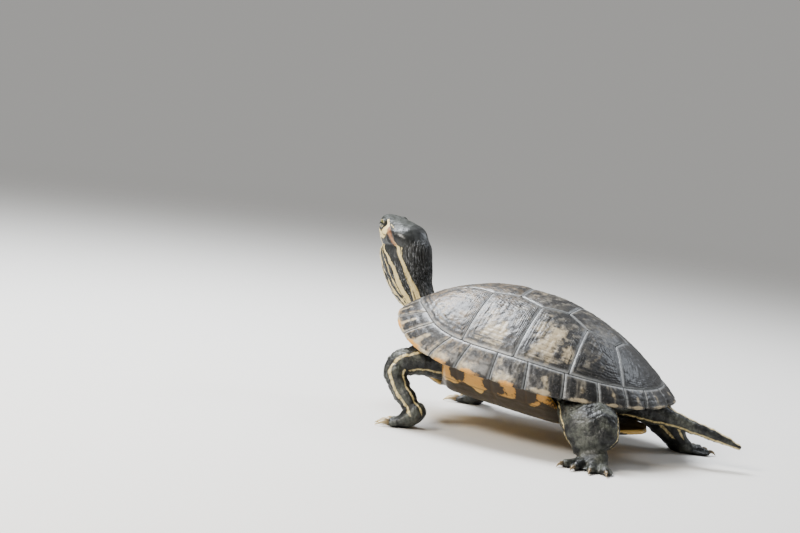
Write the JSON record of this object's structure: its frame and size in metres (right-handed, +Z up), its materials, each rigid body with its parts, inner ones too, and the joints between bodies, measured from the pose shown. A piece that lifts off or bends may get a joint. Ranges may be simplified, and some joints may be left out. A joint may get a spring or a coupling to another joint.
{
  "type": "red-eared slider turtle figure",
  "caption": "Life-size still model of an adult red-eared slider standing with its neck raised, with divided shell plates, claws and eyes.",
  "frame": {"origin": "middle of the bounding box on the floor", "axes": "+X towards the head, +Y the animal's left, +Z up"},
  "size_m": [0.2694, 0.168, 0.123],
  "materials": {
    "skin": "dark olive-black scaly skin with cream-yellow stripes, satin",
    "carapace": "dark grey-olive horn with pale seams, satin gloss",
    "marginals": "grey-olive horn with cream stripes and rim, satin gloss",
    "plastron": "orange-yellow horn with black blotches, satin",
    "claws": "yellowish horn, darker at the root",
    "eyes": "wet, olive iris with a dark bar and pupil"
  },
  "bodies": {
    "root": {"costal_left_1": "carapace", "costal_left_2": "carapace", "costal_left_3": "carapace", "costal_left_4": "carapace", "costal_right_1": "carapace", "costal_right_2": "carapace", "costal_right_3": "carapace", "costal_right_4": "carapace", "eye_left": "eyes", "eye_right": "eyes", "fore_left_claw_1": "claws", "fore_left_claw_2": "claws", "fore_left_claw_3": "claws", "fore_left_claw_4": "claws", "fore_left_claw_5": "claws", "fore_left_foot": "skin", "fore_left_leg": "skin", "fore_right_claw_1": "claws", "fore_right_claw_2": "claws", "fore_right_claw_3": "claws", "fore_right_claw_4": "claws", "fore_right_claw_5": "claws", "fore_right_foot": "skin", "fore_right_leg": "skin", "head": "skin", "hind_left_claw_1": "claws", "hind_left_claw_2": "claws", "hind_left_claw_3": "claws", "hind_left_claw_4": "claws", "hind_left_foot": "skin", "hind_left_leg": "skin", "hind_right_claw_1": "claws", "hind_right_claw_2": "claws", "hind_right_claw_3": "claws", "hind_right_claw_4": "claws", "hind_right_foot": "skin", "hind_right_leg": "skin", "lower_jaw": "skin", "marginals_left": "marginals", "marginals_right": "marginals", "neck": "skin", "nuchal": "marginals", "plastron": "plastron", "tail": "skin", "trunk": "skin", "vertebral_1": "carapace", "vertebral_2": "carapace", "vertebral_3": "carapace", "vertebral_4": "carapace", "vertebral_5": "carapace"}
  },
  "joints": []
}
